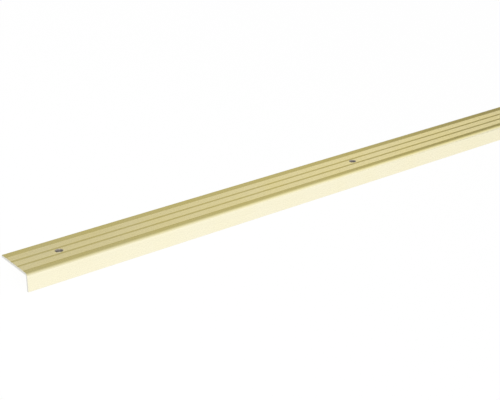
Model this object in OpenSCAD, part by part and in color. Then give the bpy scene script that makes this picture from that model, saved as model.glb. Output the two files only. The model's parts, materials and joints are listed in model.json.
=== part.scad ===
// Stair nosing: one straight length of extruded aluminium angle that covers the front edge of a step.
// It lies unheld on the floor, nose up, on the lower edge of its front leg and the rear edge of its
// tread leg. X runs along the bar, Y from front to back and Z up, with the floor at Z = 0.

/* [Angle] */
// Length of the bar
bar_length = 1000; // [400:10:3000]
// Width of the tread leg, from the front face to its rear edge
tread_w = 41; // [36:0.5:80]
// Height of the front leg, from the smooth tread surface to its lower edge
front_h = 15.3; // [8:0.1:60]
// Wall thickness of both legs
wall = 1.8; // [1.2:0.1:4]
// Radius of the inside corner between the legs
inside_r = 0.7; // [0.3:0.1:3]
// Radius of the corners at the free edges of the legs
edge_r = 0.4; // [0.1:0.05:0.8]

/* [Tread ribs] */
// Distance from the front face to the first ribbed strip
ribs_from_front = 6.6; // [5:0.1:12]
// Number of ribbed strips along the tread
strip_count = 3; // [1:1:3]
// Width of the smooth groove between two strips
strip_gap = 2.4; // [0.5:0.1:5]
// Number of ribs in a strip
ribs_per_strip = 7; // [3:1:8]
// Distance from rib to rib
rib_pitch = 1.07; // [0.8:0.01:1.3]
// Height of a rib above the smooth tread surface
rib_h = 0.3; // [0.1:0.05:0.6]
// Width of the flat crest of a rib
crest_w = 0.25; // [0.1:0.05:0.5]
// Width of the flat valley between two ribs
valley_w = 0.15; // [0.1:0.05:0.5]

/* [Screw holes] */
// Number of countersunk screw holes
hole_count = 4; // [2:1:12]
// Distance from each end of the bar to its nearest hole
hole_margin = 38; // [15:1:100]
// Diameter of the hole for the shank of the screw
shank_d = 4; // [3:0.1:5]
// Diameter of the countersink at the crests of the ribs
head_d = 7; // [5.2:0.1:8]
// Full angle of the countersink
countersink_angle = 90; // [80:1:110]

/* [Hidden] */
$fn = 64;

// The nose has the same wall all the way round the bend
nose_r = inside_r + wall;

// The holes lie on the middle line of the ribbed strips
strip_pitch = ribs_per_strip * rib_pitch + strip_gap;
ribbed_w = strip_count * strip_pitch - strip_gap;
hole_y = ribs_from_front + ribbed_w / 2;

// The holes are spread evenly between the two end margins
hole_pitch = (bar_length - 2 * hole_margin) / (hole_count - 1);
cone_slope = tan(countersink_angle / 2);
cone_h = (head_d - shank_d) / 2 / cone_slope;

// How far a cut runs past the metal
cut_past = 1;

// Lean of the bar when both of its free edges rest on the floor
lean = atan2(front_h - wall, tread_w - wall);

// Front, rear and floor of the leaning section, at the rounded corners that reach furthest
front_y = edge_r * cos(lean) - (front_h - edge_r) * sin(lean) - edge_r;
rear_y = (tread_w - edge_r) * cos(lean) - edge_r * sin(lean) + edge_r;
floor_z = -(wall - edge_r) * sin(lean) - (front_h - edge_r) * cos(lean) - edge_r;

// Section points of one rib that starts at x
function rib_points(x) = [
    [x + valley_w / 2, 0],
    [x + (rib_pitch - crest_w) / 2, rib_h],
    [x + (rib_pitch + crest_w) / 2, rib_h],
    [x + rib_pitch - valley_w / 2, 0]
];

// Outline of the section with square corners: front face at x = 0, smooth tread surface at y = 0
outline = concat(
    [[0, -front_h], [0, 0]],
    [
        for (strip = [0 : strip_count - 1], i = [0 : ribs_per_strip - 1])
            each rib_points(ribs_from_front + strip * strip_pitch + i * rib_pitch)
    ],
    [[tread_w, 0], [tread_w, -wall], [nose_r, -wall], [nose_r, -nose_r]],
    [[wall, -nose_r], [wall, -front_h]]
);

// What rounding takes off a corner at the origin, with the metal to its right and below
module corner_waste(r) {
    difference() {
        translate([-cut_past, -r])
            square(r + cut_past);
        translate([r, -r])
            circle(r);
    }
}

// Section of the bar, with its nose, inside corner and free edges rounded
module section() {
    difference() {
        polygon(outline);
        corner_waste(nose_r);
        translate([nose_r, -nose_r])
            circle(inside_r);
        translate([tread_w, 0])
            mirror([1, 0])
                corner_waste(edge_r);
        translate([tread_w, -wall])
            rotate(180)
                corner_waste(edge_r);
        translate([0, -front_h])
            mirror([0, 1])
                corner_waste(edge_r);
        translate([wall, -front_h])
            rotate(180)
                corner_waste(edge_r);
    }
}

// Countersunk hole along Z, with its mouth at the crests of the ribs
module screw_hole() {
    translate([0, 0, -wall - cut_past])
        cylinder(d = shank_d, h = wall + rib_h + 2 * cut_past);
    translate([0, 0, rib_h - cone_h])
        cylinder(d1 = shank_d, d2 = head_d + 2 * cut_past * cone_slope, h = cone_h + cut_past);
}

module nosing() {
    color("#d3c68d")
    translate([0, -(front_y + rear_y) / 2, -floor_z])
        rotate([-lean, 0, 0])
            difference() {
                rotate([90, 0, 90])
                    linear_extrude(height = bar_length, center = true)
                        section();
                for (i = [0 : hole_count - 1])
                    translate([hole_margin - bar_length / 2 + i * hole_pitch, hole_y, 0])
                        screw_hole();
            }
}

nosing();
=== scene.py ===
# Looks of a stair nosing: a gold anodised aluminium angle with ribbed strips and countersunk screw holes.
# Sizes are in metres. The bar is drawn upright, with its tread level, and then laid down as the part lies.
import json
import math

import bmesh
import bpy
from mathutils import Matrix, Vector


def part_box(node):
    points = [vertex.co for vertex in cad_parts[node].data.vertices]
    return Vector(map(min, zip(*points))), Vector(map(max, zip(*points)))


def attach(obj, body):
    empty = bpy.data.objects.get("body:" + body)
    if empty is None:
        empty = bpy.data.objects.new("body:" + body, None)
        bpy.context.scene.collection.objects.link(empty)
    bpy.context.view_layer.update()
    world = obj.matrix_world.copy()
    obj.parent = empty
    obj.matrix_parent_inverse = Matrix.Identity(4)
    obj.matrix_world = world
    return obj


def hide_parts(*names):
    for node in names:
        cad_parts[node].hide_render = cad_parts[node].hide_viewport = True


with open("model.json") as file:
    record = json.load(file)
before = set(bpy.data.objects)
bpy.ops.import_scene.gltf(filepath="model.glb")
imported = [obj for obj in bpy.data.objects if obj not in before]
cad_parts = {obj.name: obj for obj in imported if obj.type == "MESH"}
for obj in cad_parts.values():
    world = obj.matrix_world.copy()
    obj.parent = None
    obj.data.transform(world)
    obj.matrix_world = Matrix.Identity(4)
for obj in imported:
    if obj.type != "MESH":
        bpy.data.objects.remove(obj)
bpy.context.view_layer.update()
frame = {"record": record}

MM = 0.001

# Section of the angle: distances back from the front face and down from the smooth tread surface
TREAD_WIDTH = 41 * MM
FRONT_HEIGHT = 15.3 * MM
WALL = 1.8 * MM
INSIDE_RADIUS = 0.7 * MM
NOSE_RADIUS = INSIDE_RADIUS + WALL
FREE_EDGE_RADIUS = 0.4 * MM

# Ribbed strips along the tread
STRIP_COUNT = 3
STRIP_GAP = 2.4 * MM
RIBS_PER_STRIP = 7
RIB_PITCH = 1.07 * MM
RIB_HEIGHT = 0.3 * MM
RIB_CREST = 0.25 * MM
RIB_VALLEY = 0.15 * MM
RIB_ROUNDING = 0.05 * MM
STRIP_PITCH = RIBS_PER_STRIP * RIB_PITCH + STRIP_GAP
RIBBED_WIDTH = STRIP_COUNT * STRIP_PITCH - STRIP_GAP

# Countersunk holes, and how far their cutter runs past the metal
COUNTERSINK_RADIUS = 3.5 * MM
COUNTERSINK_HALF_ANGLE = math.radians(45)
CUT_PAST = 0.5 * MM

# Fineness of the mesh: sides of round shapes, and cells of the bar between two holes
NOSE_SEGMENTS = 20
CORNER_SEGMENTS = 6
RIB_SEGMENTS = 2
HOLE_SIDES = 96
CELLS_PER_HOLE_SPACING = 14
MERGE_DISTANCE = 0.001 * MM
SMOOTH_ANGLE = math.radians(32)
LARGE_FACES_FIRST = 100

# Slots of the three finishes on the bar
GOLD, SAWN, DRILLED = range(3)

# Colours of the finishes
GOLD_ON_TREAD = (0.77, 0.69, 0.33, 1)
# Paler tone of the rib crests: a painted highlight
GOLD_WITH_PAINTED_HIGHLIGHT_ON_CRESTS = (0.835, 0.74, 0.43, 1)
# Palest tone of the front leg: a painted highlight
GOLD_WITH_PAINTED_HIGHLIGHT_ON_FRONT = (0.945, 0.895, 0.675, 1)
GOLD_AT_FLAT_ANGLES = (0.85, 0.75, 0.42, 1)
SAWN_DULL = (0.6, 0.59, 0.55, 1)
SAWN_BRIGHT = (0.82, 0.81, 0.76, 1)
COUNTERSINK_RIM = (0.48, 0.43, 0.35, 1)
# Dark tone deep in the holes: painted shade
HOLE_BOTTOM_PAINTED_SHADE = (0.2, 0.18, 0.175, 1)

# Marks in the metal: how many there are to the metre, and how deep they are
DRAWING_LINES_ALONG = 1.5
DRAWING_LINES_ACROSS = 3200
DRAWING_LINE_DEPTH = 0.0025 * MM
ETCHED_GRAINS = 7000
ETCHED_GRAIN_DEPTH = 0.001 * MM
BATH_CLOUDS = 25
SAW_MARKS = 2200
SAW_MARK_DEPTH = 0.012 * MM
TURNING_RINGS = 6000
TURNING_RING_DEPTH = 0.004 * MM

# Middle of the saw blade that cut the ends, back from the front face and down from the tread
SAW_CENTRE = Vector((0, 60, -140)) * MM

# Camera, measured in the upright frame of the bar from the top front corner of its left end
CAMERA_PLACE = Vector((-312.7, -662.3, 364.5)) * MM
CAMERA_YAW = math.radians(38.214)
CAMERA_PITCH = math.radians(23.154)
CAMERA_LENS_MM = 78.34
SENSOR_WIDTH_MM = 36
NEAREST_SEEN = 0.01

# Floor, and the share of its white that hides its own light and shade, under the bar and around it
FLOOR_HALF_WIDTH = 6
WHITE_UNDER_BAR = 0.33
WHITE_AROUND = 0.95
FLOOR_GREY = (0.9, 0.9, 0.9, 1)
WHITE = (1, 1, 1, 1)

# The bar leans on its two free edges: its place and lean come from the mounts of the part
mounts = {mount["name"]: mount for mount in frame["record"]["mounts"]}
hole_mounts = [mount for mount in mounts.values() if mount["kind"] == "bore"]
tread_normal = Vector(hole_mounts[0]["axis"])
LEAN = math.atan2(tread_normal.y, tread_normal.z)
BAR_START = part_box("nosing")[0].x
BAR_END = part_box("nosing")[1].x
HOLE_PLACES = sorted(mount["pos_m"][0] for mount in hole_mounts)
HOLE_SPACING = HOLE_PLACES[1] - HOLE_PLACES[0]
SHANK_RADIUS = hole_mounts[0]["dims"]["r_mm"] * MM
lean_turn = Matrix.Rotation(-LEAN, 4, "X")
underside_middle = Vector(mounts["tread_underside"]["pos_m"])
nose_corner = underside_middle - lean_turn @ Vector((0, TREAD_WIDTH / 2, -WALL))
UPRIGHT_TO_LYING = Matrix.Translation(nose_corner) @ lean_turn
LYING_TO_UPRIGHT = UPRIGHT_TO_LYING.inverted()
HOLE_LINE = (LYING_TO_UPRIGHT @ Vector(hole_mounts[0]["pos_m"])).y
FIRST_STRIP = HOLE_LINE - RIBBED_WIDTH / 2


def add_node(tree, kind, inputs=None, **settings):
    """Adds a shader node, with its settings and the values or links of its inputs."""
    node = tree.nodes.new("ShaderNode" + kind)
    for name, value in settings.items():
        setattr(node, name, value)
    for socket, value in (inputs or {}).items():
        if isinstance(value, bpy.types.NodeSocket):
            tree.links.new(value, node.inputs[socket])
        else:
            node.inputs[socket].default_value = value
    return node


def new_material(name):
    """A material with an empty node tree and its output."""
    material = bpy.data.materials.new(name)
    material.use_nodes = True
    material.node_tree.nodes.clear()
    output = add_node(material.node_tree, "OutputMaterial")
    return material, material.node_tree, output


def section_places(tree):
    """Object coordinates turned upright: along the bar, back from the front face, up from the tread."""
    place = add_node(tree, "TexCoord").outputs["Object"]
    upright = add_node(
        tree,
        "Mapping",
        {"Vector": place, "Location": LYING_TO_UPRIGHT.translation, "Rotation": (LEAN, 0, 0)},
    )
    return upright.outputs["Vector"]


def split(tree, vector):
    """The three parts of a vector, by the names of their axes."""
    return add_node(tree, "SeparateXYZ", {"Vector": vector}).outputs


def calculated(tree, operation, *values):
    """The result of one calculation with values or links."""
    return add_node(tree, "Math", dict(enumerate(values)), operation=operation).outputs["Value"]


def fade(tree, value, start, end, at_start=0.0, at_end=1.0, smooth=True):
    """Goes from one result to another as a value goes from start to end."""
    return add_node(
        tree,
        "MapRange",
        {"Value": value, "From Min": start, "From Max": end, "To Min": at_start, "To Max": at_end},
        interpolation_type="SMOOTHSTEP" if smooth else "LINEAR",
    ).outputs["Result"]


def spread(tree, noise, least, most, reach=0.25):
    """Turns a noise into a range of results, for the values within this reach of its middle."""
    return fade(tree, noise, 0.5 - reach, 0.5 + reach, least, most, smooth=False)


def mixed_tone(tree, share, first, second):
    """Goes from the first colour to the second as the share goes from 0 to 1."""
    return add_node(
        tree, "Mix", {"Factor": share, "A": first, "B": second}, data_type="RGBA"
    ).outputs["Result"]


def cloud_noise(tree, place, to_the_metre, detail):
    """Uneven patches in space."""
    return add_node(
        tree, "TexNoise", {"Vector": place, "Scale": to_the_metre, "Detail": detail}
    ).outputs["Fac"]


def line_noise(tree, value, to_the_metre, detail):
    """Uneven lines that follow each other along a value in metres."""
    return add_node(
        tree,
        "TexNoise",
        {"W": value, "Scale": to_the_metre, "Detail": detail},
        noise_dimensions="1D",
    ).outputs["Fac"]


def raised(tree, height, depth, beneath=None):
    """Turns the surface normal by a height pattern of this depth, over any pattern beneath it."""
    inputs = {"Height": height, "Distance": depth, "Strength": 1.0}
    if beneath:
        inputs["Normal"] = beneath
    return add_node(tree, "Bump", inputs).outputs["Normal"]


def metal_surface(tree, output, inputs):
    """Ends a material in bare or anodised metal with these inputs."""
    shader = add_node(tree, "BsdfPrincipled", {"Metallic": 1.0, **inputs})
    tree.links.new(shader.outputs["BSDF"], output.inputs["Surface"])


def gold_anodised():
    """Satin gold anodising with fine drawing lines, and painted highlights: paler on the rib crests,
    palest on the front leg.
    """
    material, tree, output = new_material("gold_anodised")
    upright = section_places(tree)
    axes = split(tree, upright)
    # Painted highlight: the rib crests are paler than the tread
    painted_crest_highlight = fade(tree, axes["Z"], 0.0, RIB_HEIGHT, smooth=False)
    # Painted highlight: the front leg below the nose is palest
    down_the_nose = fade(tree, axes["Z"], 0.0, -0.9 * NOSE_RADIUS, smooth=False)
    outer_side = fade(tree, axes["Y"], 0.7 * WALL, 0.4 * WALL, smooth=False)
    painted_front_highlight = calculated(tree, "MULTIPLY", down_the_nose, outer_side)
    tread_tone_with_painted_highlight = mixed_tone(tree, painted_crest_highlight, GOLD_ON_TREAD, GOLD_WITH_PAINTED_HIGHLIGHT_ON_CRESTS)
    tone_with_painted_highlights = mixed_tone(tree, painted_front_highlight, tread_tone_with_painted_highlight, GOLD_WITH_PAINTED_HIGHLIGHT_ON_FRONT)

    lines_each_way = (DRAWING_LINES_ALONG, DRAWING_LINES_ACROSS, DRAWING_LINES_ACROSS)
    drawn = add_node(tree, "Mapping", {"Vector": upright, "Scale": lines_each_way})
    drawing_lines = cloud_noise(tree, drawn.outputs["Vector"], 1.0, 3.0)
    etched_grain = cloud_noise(tree, upright, ETCHED_GRAINS, 2.0)
    bath_clouds = cloud_noise(tree, upright, BATH_CLOUDS, 2.0)
    lined_tone = add_node(
        tree,
        "HueSaturation",
        {
            "Saturation": spread(tree, bath_clouds, 0.95, 1.05, reach=0.2),
            "Value": spread(tree, drawing_lines, 0.98, 1.02),
            "Color": tone_with_painted_highlights,
        },
    )
    lined_normal = raised(tree, drawing_lines, DRAWING_LINE_DEPTH)
    metal_surface(
        tree,
        output,
        {
            "Base Color": lined_tone.outputs["Color"],
            "Roughness": spread(tree, drawing_lines, 0.24, 0.34),
            "Specular Tint": GOLD_AT_FLAT_ANGLES,
            "Normal": raised(tree, etched_grain, ETCHED_GRAIN_DEPTH, lined_normal),
        },
    )
    return material


def sawn_aluminium():
    """Bare aluminium of the sawn ends, with the wide arcs that the saw blade leaves."""
    material, tree, output = new_material("sawn_aluminium")
    across = add_node(
        tree, "VectorMath", {0: section_places(tree), 1: (0, 1, 1)}, operation="MULTIPLY"
    )
    from_blade = add_node(
        tree,
        "VectorMath",
        {0: across.outputs["Vector"], 1: SAW_CENTRE},
        operation="DISTANCE",
    )
    saw_marks = line_noise(tree, from_blade.outputs["Value"], SAW_MARKS, 3.0)
    metal_surface(
        tree,
        output,
        {
            "Base Color": mixed_tone(tree, saw_marks, SAWN_DULL, SAWN_BRIGHT),
            "Roughness": spread(tree, saw_marks, 0.52, 0.38),
            "Normal": raised(tree, saw_marks, SAW_MARK_DEPTH),
        },
    )
    return material


def drilled_aluminium():
    """Dull bare aluminium of the countersinks, with turning rings, and painted shade that darkens it down
    the hole.
    """
    material, tree, output = new_material("drilled_aluminium")
    up = split(tree, section_places(tree))["Z"]
    rings = line_noise(tree, up, TURNING_RINGS, 2.0)
    # Painted shade: darker from the rim down the hole
    depth = fade(tree, up, RIB_HEIGHT, -WALL / 2)
    ringed_tone = add_node(
        tree,
        "HueSaturation",
        {
            "Value": spread(tree, rings, 0.85, 1.15),
            "Color": mixed_tone(tree, depth, COUNTERSINK_RIM, HOLE_BOTTOM_PAINTED_SHADE),
        },
    )
    metal_surface(
        tree,
        output,
        {
            "Base Color": ringed_tone.outputs["Color"],
            "Roughness": spread(tree, rings, 0.28, 0.42),
            "Normal": raised(tree, rings, TURNING_RING_DEPTH),
        },
    )
    return material


def in_scene(name, data):
    """A new object of the scene that shows this data."""
    made = bpy.data.objects.new(name, data)
    bpy.context.scene.collection.objects.link(made)
    return made


def mesh_object(name, bm, materials):
    """A new object of the scene made from a bmesh, with these materials in its slots."""
    mesh = bpy.data.meshes.new(name)
    bm.to_mesh(mesh)
    bm.free()
    for material in materials:
        mesh.materials.append(material)
    return in_scene(name, mesh)


def rib_outline(start):
    """Four section points of the rib that starts this far back from the front face."""
    half_valley = RIB_VALLEY / 2
    flank_top = (RIB_PITCH - RIB_CREST) / 2
    return [
        (start + half_valley, 0),
        (start + flank_top, RIB_HEIGHT),
        (start + RIB_PITCH - flank_top, RIB_HEIGHT),
        (start + RIB_PITCH - half_valley, 0),
    ]


def round_corners(bm, corners, radius, segments):
    """Rounds corners of the flat section."""
    bmesh.ops.bevel(
        bm,
        geom=corners,
        offset=radius,
        offset_type="OFFSET",
        segments=segments,
        profile=0.5,
        affect="VERTICES",
        clamp_overlap=True,
        material=-1,
    )


def section_face(bm):
    """The section of the angle as one upright face at the start of the bar, with its corners rounded."""

    def corner(back, up):
        return bm.verts.new((BAR_START, back, up))

    front_foot = [corner(WALL, -FRONT_HEIGHT), corner(0, -FRONT_HEIGHT)]
    nose = corner(0, 0)
    ribs = []
    for strip in range(STRIP_COUNT):
        for rib in range(RIBS_PER_STRIP):
            start = FIRST_STRIP + strip * STRIP_PITCH + rib * RIB_PITCH
            ribs += [corner(back, up) for back, up in rib_outline(start)]
    rear_edge = [corner(TREAD_WIDTH, 0), corner(TREAD_WIDTH, -WALL)]
    inside = corner(WALL, -WALL)
    bm.faces.new(front_foot + [nose] + ribs + rear_edge + [inside])
    round_corners(bm, [nose], NOSE_RADIUS, NOSE_SEGMENTS)
    round_corners(bm, [inside], INSIDE_RADIUS, CORNER_SEGMENTS)
    round_corners(bm, front_foot + rear_edge, FREE_EDGE_RADIUS, CORNER_SEGMENTS)
    round_corners(bm, ribs, RIB_ROUNDING, RIB_SEGMENTS)


def extruded_bar(finishes):
    """The section drawn out to the length of the bar and cut into short cells, without its holes."""
    bm = bmesh.new()
    section_face(bm)
    drawn = bmesh.ops.extrude_face_region(bm, geom=bm.faces[:])["geom"]
    far_end = [item for item in drawn if isinstance(item, bmesh.types.BMVert)]
    bmesh.ops.translate(bm, vec=(BAR_END - BAR_START, 0, 0), verts=far_end)
    bmesh.ops.recalc_face_normals(bm, faces=bm.faces[:])
    for face in bm.faces:
        face.smooth = True
        face.material_index = SAWN if abs(face.normal.x) > 0.5 else GOLD
    cell = HOLE_SPACING / CELLS_PER_HOLE_SPACING
    cut = HOLE_PLACES[0] - cell / 2
    while cut < BAR_END - cell:
        bmesh.ops.bisect_plane(
            bm,
            geom=bm.verts[:] + bm.edges[:] + bm.faces[:],
            plane_co=(cut, 0, 0),
            plane_no=(1, 0, 0),
        )
        cut += cell
    return mesh_object("undrilled_bar", bm, finishes)


def hole_cutter(finishes):
    """One turned solid for each screw hole: the countersink above and the shank hole below."""
    bm = bmesh.new()
    slope = math.tan(COUNTERSINK_HALF_ANGLE)
    cone_depth = (COUNTERSINK_RADIUS - SHANK_RADIUS) / slope
    top = RIB_HEIGHT + CUT_PAST
    top_radius = COUNTERSINK_RADIUS + CUT_PAST * slope
    bottom = -WALL - CUT_PAST
    for place in HOLE_PLACES:
        profile = [
            bm.verts.new((place, HOLE_LINE, top)),
            bm.verts.new((place + top_radius, HOLE_LINE, top)),
            bm.verts.new((place + SHANK_RADIUS, HOLE_LINE, RIB_HEIGHT - cone_depth)),
            bm.verts.new((place + SHANK_RADIUS, HOLE_LINE, bottom)),
            bm.verts.new((place, HOLE_LINE, bottom)),
        ]
        edges = [bm.edges.new(pair) for pair in zip(profile, profile[1:])]
        bmesh.ops.spin(
            bm,
            geom=profile + edges,
            cent=(place, HOLE_LINE, 0),
            axis=(0, 0, 1),
            angle=2 * math.pi,
            steps=HOLE_SIDES,
            use_merge=True,
        )
    bmesh.ops.remove_doubles(bm, verts=bm.verts[:], dist=MERGE_DISTANCE)
    bmesh.ops.recalc_face_normals(bm, faces=bm.faces[:])
    for face in bm.faces:
        face.smooth = True
        face.material_index = DRILLED
    return mesh_object("hole_cutter", bm, finishes)


def drilled_nosing():
    """The bar with its holes cut, laid down on its two free edges."""
    finishes = [gold_anodised(), sawn_aluminium(), drilled_aluminium()]
    bar = extruded_bar(finishes)
    cutter = hole_cutter(finishes)
    drill = bar.modifiers.new("drill", "BOOLEAN")
    drill.operation = "DIFFERENCE"
    drill.solver = "EXACT"
    drill.object = cutter
    drilled = bar.evaluated_get(bpy.context.evaluated_depsgraph_get())
    mesh = bpy.data.meshes.new_from_object(drilled)
    bpy.data.objects.remove(cutter)
    bpy.data.objects.remove(bar)
    mesh.name = "nosing_bar"
    mesh.transform(UPRIGHT_TO_LYING)
    mesh.set_sharp_from_angle(angle=SMOOTH_ANGLE)
    nosing = in_scene("nosing_bar", mesh)
    weighting = nosing.modifiers.new("flat_faces_stay_flat", "WEIGHTED_NORMAL")
    weighting.keep_sharp = True
    weighting.weight = LARGE_FACES_FIRST
    return nosing


def background_rays(tree):
    """1 for a ray that shows the background, straight to the camera or by way of metal or glass."""
    rays = add_node(tree, "LightPath").outputs
    by_way = calculated(tree, "MAXIMUM", rays["Is Glossy Ray"], rays["Is Transmission Ray"])
    return calculated(tree, "MAXIMUM", rays["Is Camera Ray"], by_way)


def studio_floor():
    """A plain floor that shows white all round the bar, and part of its shade under the bar."""
    material, tree, output = new_material("white_floor")
    # Its white is a background and no lamp, so it isn't sampled as one
    material.cycles.emission_sampling = "NONE"
    axes = split(tree, add_node(tree, "TexCoord").outputs["Object"])
    along = calculated(tree, "ABSOLUTE", axes["X"])
    across = calculated(tree, "ABSOLUTE", axes["Y"])
    past_ends = fade(tree, along, 0.93 * BAR_END, 0.96 * BAR_END, WHITE_UNDER_BAR, WHITE_AROUND)
    past_edges = fade(
        tree, across, 0.4 * TREAD_WIDTH, 0.48 * TREAD_WIDTH, WHITE_UNDER_BAR, WHITE_AROUND
    )
    around = calculated(tree, "MAXIMUM", past_ends, past_edges)
    share = calculated(tree, "MULTIPLY", background_rays(tree), around)
    diffuse = add_node(tree, "BsdfDiffuse", {"Color": FLOOR_GREY})
    glow = add_node(tree, "Emission", {"Color": WHITE, "Strength": 1.0})
    mixed = add_node(
        tree,
        "MixShader",
        {0: share, 1: diffuse.outputs["BSDF"], 2: glow.outputs["Emission"]},
    )
    tree.links.new(mixed.outputs["Shader"], output.inputs["Surface"])
    bm = bmesh.new()
    bmesh.ops.create_grid(bm, x_segments=1, y_segments=1, size=FLOOR_HALF_WIDTH)
    mesh_object("floor", bm, [material])


def studio_world():
    """Soft light for the metal: brighter in front than behind, dimmer past the right end.

    Straight to the camera it is plain white.
    """
    world = bpy.data.worlds.new("studio")
    world.use_nodes = True
    tree = world.node_tree
    tree.nodes.clear()
    axes = split(tree, add_node(tree, "TexCoord").outputs["Generated"])
    to_right = axes["X"]
    to_back = axes["Y"]
    upwards = axes["Z"]

    far_horizon = fade(tree, to_right, start=0.6, end=0.78, at_start=0.6, at_end=0.0)
    near_horizon = fade(tree, to_right, start=0.68, end=0.78, at_start=1.15, at_end=0.0)
    horizon = fade(tree, to_back, start=0.3, end=-0.3, at_start=far_horizon, at_end=near_horizon)
    behind = fade(tree, to_right, start=0.42, end=0.66, at_start=0.57, at_end=0.85)
    past_end = fade(tree, to_right, start=0.72, end=0.84, at_start=1.23, at_end=0.6)
    in_front = fade(tree, to_right, start=0.42, end=0.66, at_start=0.88, at_end=past_end)
    overhead = fade(tree, to_back, start=0.8, end=-0.6, at_start=behind, at_end=in_front)
    level = fade(tree, upwards, start=0.05, end=0.42, at_start=horizon, at_end=overhead)

    seen = add_node(tree, "LightPath").outputs["Is Camera Ray"]
    strength = fade(tree, seen, 0.0, 1.0, level, 1.0, smooth=False)
    background = add_node(tree, "Background", {"Color": WHITE, "Strength": strength})
    output = add_node(tree, "OutputWorld")
    tree.links.new(background.outputs["Background"], output.inputs["Surface"])
    bpy.context.scene.world = world


def soft_lamp(name, place, target, size, power):
    """A square area lamp aimed at a point."""
    light = bpy.data.lights.new(name, "AREA")
    light.size = size
    light.energy = power
    lamp = in_scene(name, light)
    lamp.location = place
    lamp.rotation_euler = (Vector(target) - Vector(place)).to_track_quat("-Z", "Y").to_euler()


def photo_camera():
    """The camera of the photo, in front of the left end, looking along the bar."""
    lens = bpy.data.cameras.new("photo_camera")
    lens.sensor_fit = "HORIZONTAL"
    lens.sensor_width = SENSOR_WIDTH_MM
    lens.lens = CAMERA_LENS_MM
    lens.clip_start = NEAREST_SEEN
    camera = in_scene("photo_camera", lens)
    upright = Matrix.Translation(Vector((BAR_START, 0, 0)) + CAMERA_PLACE)
    upright = upright @ Matrix.Rotation(-CAMERA_YAW, 4, "Z")
    upright = upright @ Matrix.Rotation(math.pi / 2 - CAMERA_PITCH, 4, "X")
    camera.matrix_world = UPRIGHT_TO_LYING @ upright
    bpy.context.scene.camera = camera


nosing = drilled_nosing()
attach(nosing, "root")
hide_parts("nosing")

studio_floor()
studio_world()
soft_lamp("left_lamp", place=(-1.3, -0.7, 1.1), target=(-0.3, -0.1, 0), size=1.0, power=15.5)
photo_camera()
bpy.context.scene.view_settings.view_transform = "Standard"
